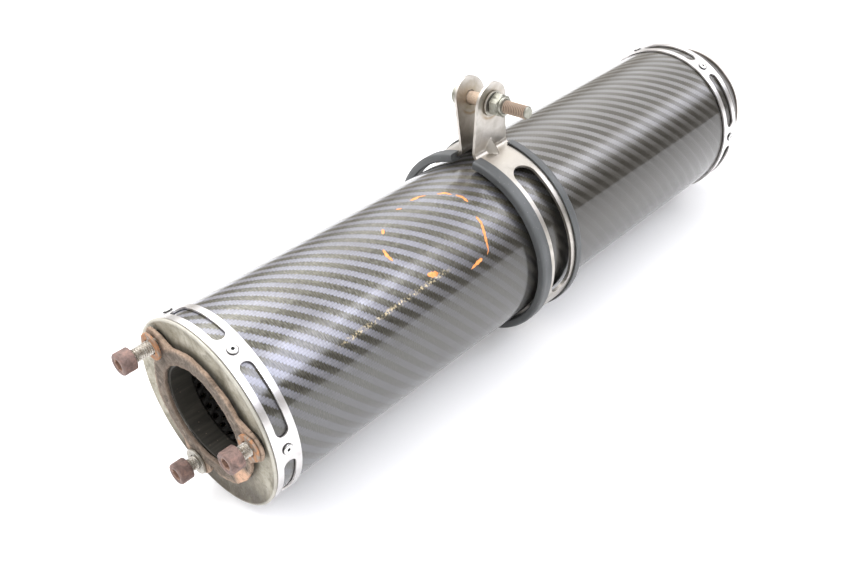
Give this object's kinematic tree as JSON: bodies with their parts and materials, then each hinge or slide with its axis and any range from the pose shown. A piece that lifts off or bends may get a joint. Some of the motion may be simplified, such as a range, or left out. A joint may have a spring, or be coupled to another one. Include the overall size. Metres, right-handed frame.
{
  "type": "exhaust muffler",
  "caption": "Round carbon-sleeved motorcycle exhaust muffler with riveted end bands, a three-bolt inlet flange, an outlet cone and a clamp strap with upright ears.",
  "frame": {"origin": "centre of the inlet gasket's front face, where the header pipe's flange seats", "axes": "+X along the can from inlet to outlet, +Z through the middle of the clamp's two ears"},
  "size_m": [0.501, 0.125, 0.1686],
  "materials": {
    "carbon_fibre": "twill-woven carbon fibre under gloss resin",
    "stainless_strap": "bright stainless sheet",
    "rivet_steel": "satin stainless",
    "dull_cap_steel": "dull steel with dirt and heat stain",
    "sooty_steel": "steel under soot",
    "rusty_gasket": "rust-stained fibre and steel",
    "rusty_steel": "rusty steel",
    "worn_zinc": "worn zinc plate",
    "grey_rubber": "satin moulded rubber",
    "glass_wool": "packed glass wool"
  },
  "bodies": {
    "muffler": {"carbon_sleeve": "carbon_fibre", "front_band": "stainless_strap", "rear_band": "stainless_strap", "front_rivet_1": "rivet_steel", "front_rivet_2": "rivet_steel", "front_rivet_3": "rivet_steel", "front_rivet_4": "rivet_steel", "front_rivet_5": "rivet_steel", "front_rivet_6": "rivet_steel", "rear_rivet_1": "rivet_steel", "rear_rivet_2": "rivet_steel", "rear_rivet_3": "rivet_steel", "rear_rivet_4": "rivet_steel", "rear_rivet_5": "rivet_steel", "rear_rivet_6": "rivet_steel", "inlet_cap": "dull_cap_steel", "outlet_cap": "dull_cap_steel", "outlet_cup": "dull_cap_steel", "inlet_stub": "sooty_steel", "perforated_core": "sooty_steel", "tailpipe": "sooty_steel", "flange_bush_1": "sooty_steel", "flange_bush_2": "sooty_steel", "flange_bush_3": "sooty_steel", "inlet_gasket": "rusty_gasket", "flange_washer_1": "worn_zinc", "flange_washer_2": "worn_zinc", "flange_washer_3": "worn_zinc", "glass_wool_packing": "glass_wool"},
    "clamp": {"clamp_strap": "stainless_strap", "clamp_trim_front": "grey_rubber", "clamp_trim_rear": "grey_rubber", "clamp_bolt": "worn_zinc"},
    "clamp_washer": {"clamp_washer": "worn_zinc"},
    "clamp_nut": {"clamp_nut": "worn_zinc"},
    "flange_screw_1": {"flange_screw_1": "rusty_steel"},
    "flange_screw_2": {"flange_screw_2": "rusty_steel"},
    "flange_screw_3": {"flange_screw_3": "rusty_steel"}
  },
  "joints": [
    {"name": "clamp_slide", "type": "slide", "parent": "muffler", "child": "clamp", "axis": [1, 0, 0], "range_m": [-0.19, 0.184]},
    {"name": "clamp_washer_slide", "type": "slide", "parent": "clamp", "child": "clamp_washer", "axis": [0, -1, 0], "range_m": [0, 0.024]},
    {"name": "clamp_nut_turn", "type": "hinge", "parent": "clamp_washer", "child": "clamp_nut", "pos_m": [0.2324, -0.0163, 0.0928], "axis": [0, -1, 0], "range_deg": [0, 6910]},
    {"name": "flange_screw_1_travel", "type": "slide", "parent": "muffler", "child": "flange_screw_1", "axis": [1, 0, 0], "range_m": [-0.008, 0.0108]},
    {"name": "flange_screw_2_travel", "type": "slide", "parent": "muffler", "child": "flange_screw_2", "axis": [1, 0, 0], "range_m": [-0.0155, 0.0048]},
    {"name": "flange_screw_3_travel", "type": "slide", "parent": "muffler", "child": "flange_screw_3", "axis": [1, 0, 0], "range_m": [-0.0147, 0.0056]}
  ],
  "couplings": [
    {"joint": "clamp_washer_slide", "follows": "clamp_nut_turn", "m_per_rad": 0.00019894}
  ]
}
